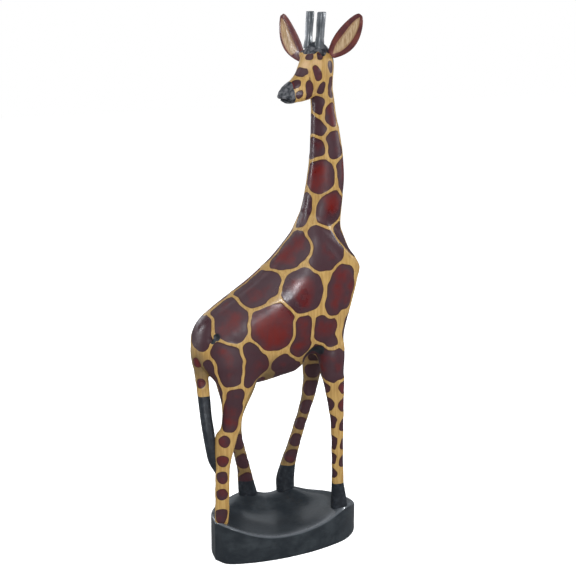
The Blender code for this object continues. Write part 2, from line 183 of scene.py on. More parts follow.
TAIL_ROWS = [
    (-92, 0, 262, 9, 10),
    (-97.5, -1, 246, 8.8, 9.6),
    (-98.6, -2, 234, 8.4, 9.0),
    (-97.3, -5, 214, 7.0, 7.6),
    (-96.3, -11, 188, 6.0, 6.6),
    (-96.0, -17, 167, 5.8, 6.2),
    (-94.8, -22, 149, 5.8, 6.0),
    (-93.3, -25, 131, 5.3, 5.8),
    (-91.0, -27, 116, 4.6, 5.0),
    (-86.2, -28, 103, 2.6, 3.0),
]
# How softly each leg flows into the body
LEG_BLENDS = {"leg_hind_right": 14, "leg_hind_left": 14, "leg_front_right": 7, "leg_front_left": 7}
TAIL_BLEND = 3
# Hollows cut before the legs are joined: centre, radii, rounding of the rim
ARCH_HOLLOWS = [
    ((31, 0, 203), (19, 70, 25), 4),      # under the chest
    ((32, -42, 222), (20, 26, 21), 1.5),  # armpits
    ((32, 42, 222), (20, 26, 21), 1.5),
]
# The two pits beside the root of the tail
TAIL_PITS = [((-87.5, -32, 262.5), (4.2, 6, 3.6), 1), ((-92, -29, 258.5), (3.2, 5, 3), 1)]
# Head in its own frame: +X along the nose, +Y its left side, z from the ground
HEAD_CENTRE = (41.5, 0, 0)
HEAD_TURN = math.radians(-155)
HEAD_BLEND = 6
NECK_RIBS_IN_HEAD = 8  # the last ribs of the body, which reach into the head
# Like the body's ribs, back and top first
HEAD_RIBS = [
    (-19, 560, -18, 552, 4.5, 2.0),
    (-14.5, 568, -14.5, 538, 11, 2.1),
    (-5, 576, -9, 526, 14.5, 2.2),
    (5, 577, 1, 520, 15.6, 2.2),
    (14, 570, 10, 516.5, 14.8, 2.2),
    (20.5, 558, 18, 515.5, 12.4, 2.2),
    (26.5, 548.5, 26, 514.5, 10.4, 2.2),
    (34, 541, 34, 514.3, 9.8, 2.2),
    (44, 535.5, 41, 513.6, 9.8, 2.2),
    (51.5, 529.8, 46.5, 514.2, 9.0, 2.2),
    (56.5, 524.8, 51.5, 516.5, 6.6, 2.1),
    (58.8, 521.6, 56.5, 519.6, 2.5, 2.0),
]
# Ears in the head's frame: root, tip, width, how far the hollow turns outward, the rim's
# width on either side as parts of the half width, how far the middle bows outward, and
# how far up from the root the hollow starts
EARS = {
    "ear_left": ((-7, 14.5, 563), (-18, 47.5, 607.5), 25, 25, 0.56, 0.5, 2.6, 0.04),
    "ear_right": ((10, -13, 558), (10, -44, 605), 25, -5, 0.2, 0.7, 4.5, 0.2),
}
EAR_THICK = 5.5
EAR_HOLLOW = 3.4
EAR_SHELL = 1.0              # least thickness behind the hollow
EAR_RINGS, EAR_ARC = 65, 28  # rings along the ear, steps across its front or its back
# Horns in the head's frame: foot, top, half length and half width of the section
HORNS = {
    "horn_left": ((3.5, 6.6, 572.5), (0, 6.8, 609.6), 4.6, 3.8),
    "horn_right": ((7, -6.8, 572.5), (4, -6.8, 610), 4.2, 3.5),
}
# Along a horn: part of its height, swell of the section
HORN_PROFILE = [
    (-0.06, 1.2), (0.0, 1.2), (0.12, 1.1), (0.28, 0.98), (0.5, 0.98), (0.75, 1.04),
    (0.93, 1.05), (0.975, 1.02), (0.992, 0.95), (1.0, 0.86), (1.0, 0.4), (1.0, 0.02),
]
HORN_SQUARENESS = 2.9
# One horn has a painted reflection down one side, and how strong it is at which height
PAINTED_REFLECTION_HORN = "horn_right"
PAINTED_REFLECTION_SIDE = (0.71, -0.71, 0)
PAINTED_REFLECTION_HEIGHTS = ((574, 582, 596, 606), (0.4, 1.0, 0.9, 0.2))
# The base block, as in the CAD model
BASE_OUTLINE = [
    (-92, -32), (-82, -48), (-58, -54), (-32, -55.5), (-8, -54), (20, -49),
    (48, -40), (70, -29), (86, -12), (92.5, 4), (87, 20), (66, 34),
    (40, 45), (4, 47), (-34, 51), (-56, 42), (-76, 22), (-88, -4),
]
BASE_FLAT = (44, -0.02, -0.08)         # height in the middle, slopes along x and y
BASE_DISH = (-15, -22, 25)             # lowest point of the dish
DISH_CURVE = (0.0046, 0.0024, 0.0036)  # steepness behind, in front and to the sides
DISH_BLEND = 2.5
FOOT_PADS = [(22, 36, 8), (-28, 38, 8), (62, -19, 3)]  # x, y, rise under three feet
PAD_SPREAD = 13
BASE_DROOP = (55, 0.006)  # the right end sinks from this x on
BASE_FOOT = [(0.97, 0.0), (0.992, 0.0), (0.998, 0.4)]  # parts of the outline, heights
SIDE_FROM = 1.5       # height from which the side stands upright
BASE_EDGE = 2.5       # rounding of the rim
LIP_ROLL = (8, 1.3)   # mm: how wide the top rolls off towards the lip, and how deep
LIP_WEAR_AND_SHEEN = 26         # mm from the rim in which wear and a painted highlight lighten the top and the polish is worn
# Carved marks on the head: centre, radii, raised (1) or cut (-1), softness of the border.
# A mark off the middle is on both sides.
HEAD_MARKS = [
    ((19, 15.5, 552), (9, 4, 9), -1, 3),             # hollow below the eye
    ((10.5, 10.6, 563.5), (5.5, 3.6, 4.4), 1, 2),    # eyelids
    ((10.8, 12.0, 563.2), (3.6, 3.0, 2.9), 1, 0.5),  # eyeball
    ((33, 11.5, 530), (10, 3, 7), -1, 3),            # hollow cheek
    ((53, 5.0, 528.6), (2.4, 1.7, 1.4), -1, 0.6),    # nostril
    ((56, 0, 518.6), (9, 14, 0.8), -1, 0.8),         # mouth
]

# -------- paint, in mm

# Dark patches: (tone, balls). A patch is the skin inside its balls (x, y, z, radius), and
# its tone runs from purple-brown (0) to red (1). These are on the right side.
BODY_PATCHES = [
    (0.30, [(-70, -21, 286, 13), (-64, -29, 283, 12), (-70, -32, 273, 16), (-80, -26, 281, 9),
            (-67, -12, 292, 9), (-79, -12, 284, 8)]),
    (0.15, [(-26, -23, 316, 14), (-41, -22, 306, 15), (-34, -9, 317, 12), (-48, -9, 307, 9)]),
    (0.35, [(12, -21, 354, 13), (1, -18, 345, 14), (-7, -12, 340, 10), (12, -11, 362, 9),
            (2, -7, 352, 9)]),
    (0.05, [(33, -27, 367, 9), (38, -30, 354, 10), (46, -32, 343, 11), (34, -34, 341, 10),
            (54, -27, 347, 8), (45, -24, 362, 8)]),
    (0.35, [(11, -40, 308, 21), (14, -38, 318, 12)]),
    (0.50, [(61, -31, 319, 11), (55, -34, 305, 12), (50, -36, 289, 10), (70, -28, 321, 6),
            (71, -28, 306, 7), (66, -29, 291, 7)]),
    (0.75, [(-26, -41, 269, 21), (-17, -41, 280, 14), (-35, -39, 277, 12), (-22, -42, 264, 17)]),
    (0.60, [(12, -42, 270, 8), (12, -41, 260, 7), (9, -38, 244, 10)]),
    (0.50, [(32, -41, 269, 7), (38, -39, 258, 10), (44, -38, 263, 8), (46, -36, 245, 6)]),
    (0.05, [(-11, -34, 225, 10), (2, -26, 216, 9), (-5, -20, 210, 10)]),
    (0.35, [(-50, -40, 245, 8), (-43, -38, 227, 12), (-52, -40, 214, 7), (-40, -20, 204, 9)]),
    (0.20, [(-82, -36, 246, 10), (-74, -40, 236, 13), (-74, -41, 221, 12)]),
    (0.10, [(-93, -26, 228, 6), (-90, -26, 214, 6), (-86, -27, 200, 6), (-82, -26, 188, 5)]),
    (0.45, [(-69, -42, 196, 7), (-73, -41, 180, 9), (-77, -39, 165, 8)]),
    (0.30, [(53, -38, 216, 9), (50, -38, 228, 8), (60, -30, 222, 8), (45, -34, 206, 7),
            (60, -33, 208, 6), (38, -30, 230, 9), (28, -28, 238, 8), (40, -30, 214, 8),
            (22, -22, 230, 8)]),
    (0.30, [(72, -20, 264, 6), (70, -22, 250, 7)]),
    (0.10, [(62, -13, 370, 8), (70, -14, 358, 8), (77, -14, 346, 7)]),
    (0.70, [(52, -13, 503, 6), (54, -13, 494, 6)]),
    (0.35, [(56, -15, 472, 7), (59, -15, 459, 8)]),
    (0.60, [(39, -14, 437, 11.5), (41, -16, 427, 11.5), (44, -17, 438, 8), (35, -12, 425, 8),
            (36, -6, 438, 7), (35, -5, 428, 7)]),
    (0.45, [(67, -12, 442, 7.5), (69, -12, 430, 8), (69, -11, 418, 6.5)]),
    (0.45, [(51, -20, 396, 12), (57, -19, 402, 10), (46, -20, 388, 9), (56, -20, 386, 9)]),
]
# These lie across the middle
MIDDLE_PATCHES = [
    (0.05, [(-95, -11, 274, 10), (-100, -16, 258, 11), (-101, -3, 262, 11), (-98, 8, 268, 10)]),
    (0.15, [(38, -9, 512, 6), (39, -10, 505, 6)]),
    (0.30, [(38, -8, 484, 7), (42, -12, 484, 5), (36, -3, 491, 6), (36, 3, 484, 7)]),
    (0.40, [(38, -10, 461, 8), (36, -4, 467, 7), (35, -2, 456, 7)]),
    (0.10, [(28, -3, 402, 7), (25, -4, 390, 8), (22, -4, 380, 7)]),
    (0.15, [(88, 0, 320, 11), (86, 0, 302, 11)]),
    (0.10, [(79, 0, 275, 12), (74, 0, 252, 12)]),
    (0.10, [(72, 0, 384, 7), (71, 0, 374, 7)]),
    (0.30, [(62, 0, 476, 6), (66, 0, 466, 6)]),
    (0.40, [(66, -2, 500, 8), (64, 2, 492, 7)]),
    (0.30, [(62, 0, 524, 7), (60, 2, 534, 7)]),
    (0.20, [(-48, 44, 196, 10), (-50, 44, 182, 9)]),
    (0.40, [(-66, 38, 216, 10), (-74, 32, 222, 9)]),
    (0.20, [(-30, 44, 208, 9), (-26, 42, 196, 7)]),
    (0.10, [(-62, 0, 196, 13), (-74, 0, 200, 10)]),
    (0.20, [(-14, 0, 199, 12), (4, 0, 203, 10)]),
    (0.10, [(36, 0, 209, 14), (50, 0, 212, 10)]),
]
# These are in the head's frame, on its left side
HEAD_PATCHES = [
    (0.10, [(19.5, 3, 562, 3.6), (17, 7.5, 562.3, 3.9)]),
    (0.15, [(29, 3, 546, 6), (27, -3, 547, 5), (26, 8, 546, 4.5), (24, 10, 545, 4)]),
    (0.45, [(39, 8, 539, 5), (40, 8, 533, 5)]),
    (0.45, [(36.5, 10, 524, 6.4)]),
    (0.45, [(23, 11, 541, 4), (23, 11, 533, 4.4), (22, 11, 526, 4.6), (21, 9, 518, 4.6)]),
    (0.65, [(16, 13, 549, 4.6), (14, 14, 544.5, 5), (13, 14, 540, 4)]),
    (0.10, [(6, 13, 531, 5), (7, 13, 524, 5)]),
    (0.00, [(-4, 16, 553, 4.5), (-5, 15, 547, 3.5)]),
    (0.05, [(10, 13.5, 563.6, 4.6)]),
    (0.45, [(-6, 15, 538, 4), (-6.5, 15, 530, 5), (-6.5, 14.5, 521, 5)]),
]
# Spots down the legs and tail: (heights, direction in degrees seen from above, radius, tone)
LEG_SPOTS = {
    "leg_hind_right": [
        ([144], -112, 7, 0.7), ([121], -110, 7.6, 0.6), ([101], -110, 7.4, 0.5),
        ([81], -110, 7.2, 0.5), ([151, 110, 70], 10, 6, 0.3), ([131, 90], 20, 6, 0.3),
        ([110, 90, 70], 130, 6, 0.3), ([54], -110, 10, 0.4), ([48], 30, 14, 0.4),
    ],
    "leg_front_right": [
        ([193], -175, 9, 0.4), ([171, 149, 123], -175, 9, 0.3), ([103], -175, 8, 0.3),
        ([85], -175, 7, 0.3), ([191], -40, 8.5, 0.6), ([170], -40, 8.5, 0.5),
        ([145], -40, 8, 0.5), ([121], -40, 7.6, 0.6), ([100], -40, 7.4, 0.5),
        ([180, 156, 134, 112], 80, 7, 0.3), ([90], 80, 6, 0.3),
    ],
    "leg_front_left": [
        ([196, 173], -100, 11, 0.1), ([150], -100, 10.5, 0.1), ([129, 109], -100, 10, 0.2),
        ([90], -100, 10, 0.3), ([182, 159], 40, 9, 0.4), ([138, 117, 97], 40, 8, 0.4),
        ([182, 159], 130, 9, 0.4), ([138, 117, 97], 130, 8, 0.4),
    ],
    "leg_hind_left": [
        ([188], -90, 14, 0.1), ([164], -95, 12, 0.1), ([142, 115, 90], -100, 12, 0.1),
        ([67], -100, 10, 0.25), ([150, 128, 103, 79], 40, 9, 0.4),
        ([150, 128, 103, 79], 160, 9, 0.4),
    ],
    "tail": [
        ([230, 206], -120, 6, 0.6), ([218], 10, 5, 0.3), ([219], 130, 5, 0.3),
        ([200], 120, 5, 0.3),
    ],
}
BODY_GROWTH = 3.5      # mm that the patches of the body reach past their balls
HALF_LINE = 1.5        # mm, half the bare line between two patches
PATCH_BLEND = 5        # how softly the balls of a patch flow together
CORNER_SOFTNESS = 2.2  # mm, rounds the corners where three patches meet
FAR = 60.0             # mm, for a point that no patch is near
PATCH_REACH = 45       # mm around a patch's balls in which its distance is worked out
RIDGE_SHIFT = 7        # mm that the left side's patches keep off the ridge of the back
EDGE_WOBBLE, EDGE_WOBBLE_SIZE = 1.3, 9.0
WOBBLE_SHIFTS = (0, 37, 71)  # mm, so that the three directions wobble apart

# Black areas: (x, y, z, radius). The last three are painted shade, black in the armpit recesses
# under the chest.
BLACK_AND_SHADE_BALLS = [
    (-87.5, -31, 262.5, 4.6), (-92, -30, 258.5, 3.8), (24, -24, 238, 9), (34, -26, 236, 8),
    (24, 22, 234, 9),
]
# In the head's frame: the nape and above the eyes
HEAD_BLACK_BALLS = [
    (-14, 6, 560, 9), (-14, -6, 560, 9),
    (5, 12, 569, 6), (5, -12, 569, 6),
]
# Where a painted highlight lightens the bare wood of the head, in the head's frame
PAINTED_HIGHLIGHT_BALLS = [(18, 2, 568, 10), (24, 4, 554, 10), (14, 16, 556, 8)]
PAINTED_HIGHLIGHT_FADE = 8
BLACK_FEET = {(1, -1): 72, (1, 1): 77, (-1, 1): 63}  # by the signs of x and y
BLACK_TUFT = 191
# Where the bare wood is darkened to olive brown, (x, y, z, radius): painted shade on the far legs,
# the tail, the armpits and under the belly, and smoke in the groin
SMOKE_AND_SHADE_BALLS = [
    (-16, -34, 208, 34), (24, -30, 226, 24), (-98, -6, 226, 30), (-66, -24, 190, 14),
    (46, 26, 200, 40), (36, 34, 150, 40), (22, 40, 100, 40), (-46, 26, 190, 44),
    (-44, 34, 140, 40), (-34, 38, 90, 40), (-30, 0, 200, 40), (40, 0, 215, 34),
]
SMOKE_AND_SHADE_FADE = 18   # mm over which the smoke and the painted shade thin out
# Where the lacquer is polished bright: (x, y, z, radius)
POLISH_BALLS = [
    (-3, -40, 303, 30), (53, -20, 388, 16), (62, -20, 366, 16), (28, -8, 396, 20),
    (-96, -10, 272, 18), (34, -6, 440, 18), (35, -6, 470, 18), (37, -6, 500, 18),
    (-3, 40, 303, 30), (53, 20, 388, 16), (62, 20, 366, 16), (-80, 30, 262, 24),
]
POLISH_FADE = 14
MUZZLE = (43.8, 528, 0.02)  # where the black starts: along the nose, its middle height, curve
MUZZLE_FADE = 2             # mm over which its chips set in
CROWN = (565, 573, -2, 9)   # height of the black crown behind and in front, and where it turns

# -------- light and camera

CAMERA_VIEW = (-20, 14)  # azimuth and elevation in degrees
CAMERA_TARGET = (-0.0025, -0.028, 0.3105)
CAMERA_DISTANCE = 1.6
CAMERA_LENS = 90.2
SURROUND_COLOUR = (0.85, 0.92, 1.0)
SURROUND_LIGHT = 0.15
FLOOR_SIZE = 4      # m from the middle to an edge
FLOOR_GLOW = 0.86   # keeps the pale floor as bright far away as under the lamps
FLOOR_COLOUR = (0.93, 0.93, 0.92)
FLOOR_MIRRORED = (0.2, 0.2, 0.2)  # the same where the lacquer mirrors it
LAMP_COLOUR = (0.93, 0.96, 1.0)
# name, azimuth, elevation, distance, size, watts, target
LAMPS = [
    ("soft_key", -45, 48, 2.2, (2.8, 2.8), 33, (0, 0, 0.32)),
    ("window", -3, 15, 2.0, (0.3, 0.3), 15, (0, 0, 0.3)),
    ("side_strip", -125, 2, 1.5, (0.1, 1.0), 6, (0, 0, 0.55)),
    ("front_strip", 79, 16, 1.6, (0.15, 0.5), 11, (0, 0, 0.35)),
    ("hip_lamp", -140, 49, 1.6, (0.25, 0.25), 1.5, (0, 0, 0.28)),
    ("back_panel", -166, 8, 2.2, (0.7, 0.5), 4, (0, 0, 0.3)),
    ("overhead", 160, 42, 1.8, (1.6, 0.9), 3.5, (0, 0, 0.1)),
]


# -------- lofts and fields

def smooth_rows(rows, steps):
    """Rows of numbers with steps - 1 more between each two, on a Catmull-Rom curve."""
    rows = np.array(rows, float)
    ends = np.vstack([2 * rows[0] - rows[1], rows, 2 * rows[-1] - rows[-2]])
    t = np.linspace(0, 1, steps, endpoint=False)[:, None]
    parts = []
    for a, b, c, d in zip(ends, ends[1:], ends[2:], ends[3:]):
        parts.append(0.5 * (2 * b + (c - a) * t + (2 * a - 5 * b + 4 * c - d) * t ** 2
                            + (3 * b - a - 3 * c + d) * t ** 3))
    return np.vstack([*parts, rows[-1:]])


def oval(squareness):
    """Unit circle points drawn towards a rounded box, one pair per ring point."""
    angle = np.linspace(0, 2 * math.pi, RING_POINTS, endpoint=False)
    c, s = np.cos(angle), np.sin(angle)
    power = 2 / squareness
    return np.sign(c) * abs(c) ** power, np.sign(s) * abs(s) ** power


def rib_loft(ribs):
    """Rings in the x-z plane, each from an upper to a lower point."""
    rings = []
    for top_x, top_z, low_x, low_z, half_width, squareness in smooth_rows(ribs, LOFT_STEPS):
        top = np.array([top_x, 0, top_z])
        low = np.array([low_x, 0, low_z])
        u, v = oval(squareness)
        rings.append((top + low) / 2 + u[:, None] * (top - low) / 2
                     + v[:, None] * np.array([0, half_width, 0]))
    return np.array(rings)


def level_loft(rows, steps=LOFT_STEPS, squareness=SQUARENESS):
    """Level rings, for the legs and the tail."""
    rings = []
    u, v = oval(squareness)
    for x, y, z, half_length, half_width in smooth_rows(rows, steps):
        rings.append(np.column_stack([x + u * half_length, y + v * half_width, 0 * u + z]))
    return np.array(rings)


def loft_quads(rings, count):
    """Quads between rings of count points each."""
    index = np.arange(rings * count).reshape(rings, count)
    following = np.roll(index, -1, axis=1)
    return np.stack([index[:-1], following[:-1], following[1:], index[1:]], -1).reshape(-1, 4)


def loft_faces(rings, count):
    """The quads between the rings and a face over each end."""
    ends = [tuple(range(count))[::-1], tuple(range((rings - 1) * count, rings * count))]
    return [tuple(quad) for quad in loft_quads(rings, count).tolist()] + ends


def distance_grid(rings, voxel):
    """Signed distance in mm around a closed loft, negative inside."""
    count = rings.shape[1]
    points = np.vstack([rings.reshape(-1, 3), rings[0].mean(0), rings[-1].mean(0)])
    quads = loft_quads(len(rings), count)
    first, last = len(points) - 2, len(points) - 1
    low, low_next = quads[:count, :2].T
    high_next, high = quads[-count:, 2:].T
    caps = np.vstack([
        np.column_stack([low_next, low, np.full(count, first)]),
        np.column_stack([high, high_next, np.full(count, last)]),
    ])
    return openvdb.FloatGrid.createLevelSetFromPolygons(
        points.astype(np.float32), triangles=caps.astype(np.uint32),
        quads=quads.astype(np.uint32),
        transform=openvdb.createLinearTransform(voxelSize=voxel), halfWidth=BAND / voxel,
    )


class Field:
    """A block of signed distances in mm that members are added to and cut from."""

    def __init__(self, low, high, voxel):
        self.voxel = voxel
        self.low = np.floor(np.array(low) / voxel).astype(int)
        shape = np.ceil(np.array(high) / voxel).astype(int) - self.low + 1
        self.values = np.full(shape, BAND, np.float32)

    def window(self, low, high):
        """The slices of the block around a box in mm."""
        a = np.floor(np.array(low) / self.voxel).astype(int) - self.low
        b = np.ceil(np.array(high) / self.voxel).astype(int) - self.low + 1
        a = np.clip(a, 0, self.values.shape)
        b = np.clip(b, 0, self.values.shape)
        return tuple(slice(i, j) for i, j in zip(a, b)), a, b

    def add(self, rings, blend):
        """Joins a loft to what is there, with a rounded valley about as wide as blend."""
        part, a, b = self.window(rings.min((0, 1)) - BAND, rings.max((0, 1)) + BAND)
        member = np.zeros(b - a, np.float32)
        corner = tuple(int(i) for i in a + self.low)
        distance_grid(rings, self.voxel).copyToArray(member, ijk=corner)
        self.values[part] = blended(self.values[part], member, blend)

    def ellipsoid(self, centre, radii, lift, blend, turn=None):
        """Adds (lift 1) or cuts (lift -1) an ellipsoid. turn rotates its axes."""
        centre, radii = np.array(centre, float), np.array(radii, float)
        reach = radii.max() + BAND / 2
        part, a, b = self.window(centre - reach, centre + reach)
        axes = [(np.arange(i, j) + low) * self.voxel - c
                for i, j, low, c in zip(a, b, self.low, centre)]
        offset = np.stack(np.meshgrid(*axes, indexing="ij"), -1)
        if turn is not None:
            offset = offset @ turn
        scaled = np.sqrt(((offset / radii) ** 2).sum(-1))
        slope = np.sqrt(((offset / radii ** 2) ** 2).sum(-1)) / np.maximum(scaled, 1e-6)
        shape = ((scaled - 1) / np.maximum(slope, 1e-6)).astype(np.float32)
        shape = np.clip(shape, -BAND, BAND)
        here = self.values[part]
        if lift > 0:
            self.values[part] = blended(here, shape, blend)
        else:
            self.values[part] = -blended(-here, shape, blend)

    def smooth(self):
        """Averages each value with its neighbours, which takes fine ridges off the skin."""
        for axis in range(3):
            values = np.moveaxis(self.values, axis, 0)
            values[1:-1] = values[1:-1] / 2 + (values[:-2] + values[2:]) / 4

    def skin(self):
        """The surface as points in mm and faces."""
        grid = openvdb.FloatGrid(background=BAND)
        grid.copyFromArray(self.values, ijk=tuple(int(i) for i in self.low))
        grid.transform = openvdb.createLinearTransform(voxelSize=self.voxel)
        points, quads = grid.convertToQuads(isovalue=0.0)
        return points.astype(float), quads[:, ::-1].astype(int)


def blended(a, b, width):
    """Smooth minimum of two distance fields."""
    overlap = np.maximum(width - abs(a - b), 0) / width
    return np.minimum(a, b) - overlap ** 2 * width / 4


def head_axes():
    """The head's own axes, one in each row."""
    c, s = math.cos(HEAD_TURN), math.sin(HEAD_TURN)
    return np.array([[c, s, 0], [-s, c, 0], [0, 0, 1]])


def from_head(points):
    """Points from the head's frame into the statue's, in mm."""
    return np.asarray(points, float) @ head_axes() + HEAD_CENTRE


def into_head(points):
    """Points from the statue's frame into the head's, in mm."""
    return (points - np.array(HEAD_CENTRE)) @ head_axes().T


def balls_from_head(balls, side=1):
    """Balls (x, y, z, radius) from the head's frame into the statue's."""
    return [(*from_head((x, y * side, z)), radius) for x, y, z, radius in balls]


# -------- the carved figure

def carve_body():
    """Body, neck and legs as one field, with the members rounded into each other."""
    field = Field((-114, -52, 30), (100, 52, 580), VOXEL)
    field.add(rib_loft(BODY_RIBS), 1)
    for centre, radii, blend in ARCH_HOLLOWS:
        field.ellipsoid(centre, radii, -1, blend)
    for name, blend in LEG_BLENDS.items():
        field.add(level_loft(LEG_ROWS[name]), blend)
    field.add(level_loft(tail_rows(TAIL_JOINT, math.inf), 1, TAIL_SQUARENESS), TAIL_BLEND)
    for centre, radii, blend in TAIL_PITS:
        field.ellipsoid(centre, radii, -1, blend)
    field.smooth()
    return field


def tail_rows(low, high):
    """The tail's sections between two heights."""
    return [row for row in smooth_rows(TAIL_ROWS, LOFT_STEPS) if low <= row[2] <= high]


def carve_tail():
    """The tail below its glue face, a hair thicker than the stub above it."""
    rows = np.array(tail_rows(0, TAIL_JOINT + TAIL_OVERLAP)) + (0, 0, 0, TAIL_SLEEVE, TAIL_SLEEVE)
    field = Field((-114, -44, 96), (-76, 14, 216), FINE_VOXEL)
    field.add(level_loft(rows, 1, TAIL_SQUARENESS), 1)
    return field


def carve_head():
    """The head down to the top of the neck."""
    field = Field((-25, -40, 494), (76, 30, 584), FINE_VOXEL)
    field.add(rib_loft(BODY_RIBS[-NECK_RIBS_IN_HEAD:]), 1)
    field.add(from_head(rib_loft(HEAD_RIBS)), HEAD_BLEND)
    for (x, y, z), radii, lift, blend in HEAD_MARKS:
        for side in (1, -1) if y else (1,):
            field.ellipsoid(from_head((x, y * side, z)), radii, lift, blend, head_axes().T)
    field.smooth()
    return field


def ripple(points, size):
    """Smooth uneven values between about -1 and 1, with bumps about size mm apart."""
    return np.array([noise.noise(Vector(p)) for p in points / size])


def keeled(points):
    """Draws the front of the chest in from a ridge on each side, like the bow of a boat."""
    x, y, z = points.T
    heights, ridge = np.array(CHEST_RIDGE, float).T
    beyond = np.maximum(x - np.interp(z, heights, ridge), 0)
    fade = np.interp(z, CHEST_FADE, (0, 1, 1, 0))
    fade = fade * fade * (3 - 2 * fade)
    drawn = np.minimum(KEEL_SLOPE * beyond, KEEL_DEPTH) * fade
    width = np.maximum(abs(y) - drawn, abs(y) * KEEL_LEAST)
    return np.column_stack([x, np.sign(y) * width, z])


def relieved(points, quads):
    """The skin with the slight waves of hand carving, and its painted lines a little sunk."""
    a, b, c, d = (points[quads[:, k]] for k in range(4))
    slope = np.cross(c - a, d - b)
    normals = np.zeros_like(points)
    for k in range(4):
        np.add.at(normals, quads[:, k], slope)
    normals /= np.linalg.norm(normals, axis=1)[:, None]
    waves = WAVE_DEPTH * ripple(points, WAVE_SIZE) + DENT_DEPTH * ripple(points, DENT_SIZE)
    patch = painted(points)["patch"]
    sunk = LINE_DEPTH * np.clip(0.5 - patch / LINE_SLOPE, 0, 1)
    nose, _, _ = into_head(points).T
    on_muzzle = np.clip((nose - MUZZLE[0]) / MUZZLE_FADE, 0, 1) * (points[:, 2] > HEAD_JOINT)
    waves += on_muzzle * CHIP_DEPTH * ripple(points, CHIP_SIZE)
    return points + normals * (waves - sunk)[:, None]


def leg_at(x, y):
    """The leg on this side of the middle."""
    end = "front" if x > 0 else "hind"
    side = "left" if y > 0 else "right"
    return f"leg_{end}_{side}"


def severed(points, quads, cuts):
    """Cuts a skin along level lines. A cut is a height and the leg it goes through, if only one."""
    mesh = bpy.data.meshes.new("skin")
    mesh.from_pydata(points.tolist(), [], quads.tolist())
    bm = bmesh.new()
    bm.from_mesh(mesh)
    for height, leg in cuts:
        near = []
        for face in bm.faces:
            x, y, z = face.calc_center_median()
            if abs(z - height) < CUT_REACH and leg in (None, leg_at(x, y)):
                near.append(face)
        parts = {e for face in near for e in [*face.edges, *face.verts]}
        bmesh.ops.bisect_plane(bm, geom=[*near, *parts], dist=1e-4,
                               plane_co=(0, 0, height), plane_no=(0, 0, 1))
    bm.to_mesh(mesh)
    bm.free()
    points = np.zeros(len(mesh.vertices) * 3)
    mesh.vertices.foreach_get("co", points)
    faces = [tuple(face.vertices) for face in mesh.polygons]
    bpy.data.meshes.remove(mesh)
    return points.reshape(-1, 3), faces


def capped(points, faces, cuts):
    """The points and the faces, with a flat one over each opening that a cut has left."""
    level = {i for height, _ in cuts for i in np.flatnonzero(abs(points[:, 2] - height) < 1e-3)}
    edges = {}
    for face in faces:
        for i, j in zip(face, face[1:] + face[:1]):
            if i in level and j in level:
                edges[i, j] = True
    following = {j: i for i, j in edges if (j, i) not in edges}
    caps = []
    while following:
        start, current = following.popitem()
        cap = [start]
        while current in following:
            cap.append(current)
            current = following.pop(current)
        caps.append(tuple(cap))
    return points, faces + caps


def compact(points, faces):
    """Only the points that the faces use, and the faces counted to match."""
    used = np.unique(np.concatenate([np.array(face) for face in faces]))
    place = np.zeros(len(points), int)
    place[used] = np.arange(len(used))
    return points[used], [tuple(place[list(face)].tolist()) for face in faces]


# -------- the painted pattern

def mirrored(patches):
    """The patches of the right side on the left side, each a little moved."""
    moved = []
    for tone, balls in patches:
        moved.append((1 - tone, [
            (x + 4 * math.sin(z / 15), RIDGE_SHIFT * (1 + y / 45) - y, z + 3 * math.sin(x / 13), r)
            for x, y, z, r in balls
        ]))
    return moved


def nearest_two(points, patches):
    """Distance in mm to the nearest and, softly, to the next patch, and the nearest's tone."""
    table = np.full((len(patches), len(points)), FAR, np.float32)
    for row, (_, balls) in zip(table, patches):
        balls = np.array(balls, float)
        low = balls[:, :3].min(0) - PATCH_REACH
        high = balls[:, :3].max(0) + PATCH_REACH
        here = np.flatnonzero(((points > low) & (points < high)).all(1))
        distance = np.full(len(here), FAR)
        for ball in balls:
            reach = np.linalg.norm(points[here] - ball[:3], axis=1) - ball[3]
            distance = blended(distance, reach, PATCH_BLEND)
        row[here] = distance
    best = table.argmin(0)
    every = np.arange(len(points))
    near = table[best, every].astype(float)
    table[best, every] = FAR
    # where two others are equally far, they push the border back together
    second = -CORNER_SOFTNESS * np.log(np.exp(-table / CORNER_SOFTNESS).sum(0) + 1e-12)
    tone = np.array([patch_tone for patch_tone, _ in patches])[best]
    return near, second, tone


def leg_spots(name, spots):
    """Patches of one ball each on the surface of a leg or the tail."""
    rows = smooth_rows(LEG_ROWS[name] if name in LEG_ROWS else TAIL_ROWS, 8)[::-1]
    patches = []
    for heights, direction, radius, tone in spots:
        c, s = math.cos(math.radians(direction)), math.sin(math.radians(direction))
        for z in heights:
            x, y, half_x, half_y = (np.interp(z, rows[:, 2], rows[:, k]) for k in (0, 1, 3, 4))
            patches.append((tone, [(x + half_x * c, y + half_y * s, z, radius)]))
    return patches


def grown(patches):
    """Patches with larger balls."""
    return [(tone, [(x, y, z, r + BODY_GROWTH) for x, y, z, r in balls]) for tone, balls in patches]


def all_patches():
    """Every patch on the figure in the statue's frame."""
    right = grown(BODY_PATCHES)
    patches = right + mirrored(right) + grown(MIDDLE_PATCHES)
    for tone, balls in HEAD_PATCHES:
        across = min(y - r for _, y, _, r in balls) < 0
        for side in (1,) if across else (1, -1):
            patches.append((tone, balls_from_head(balls, side)))
    for name, spots in LEG_SPOTS.items():
        patches += leg_spots(name, spots)
    return patches


PATCHES = all_patches()


def depth_in(points, balls):
    """How far in mm each point lies inside some balls."""
    depth = np.full(len(points), -FAR)
    for *centre, radius in balls:
        depth = np.maximum(depth, radius - np.linalg.norm(points - centre, axis=1))
    return depth


def share_in(points, balls, fade):
    """From 0 on the skin of the balls to 1 at a depth of fade mm."""
    return np.clip(depth_in(points, balls) / fade, 0, 1)


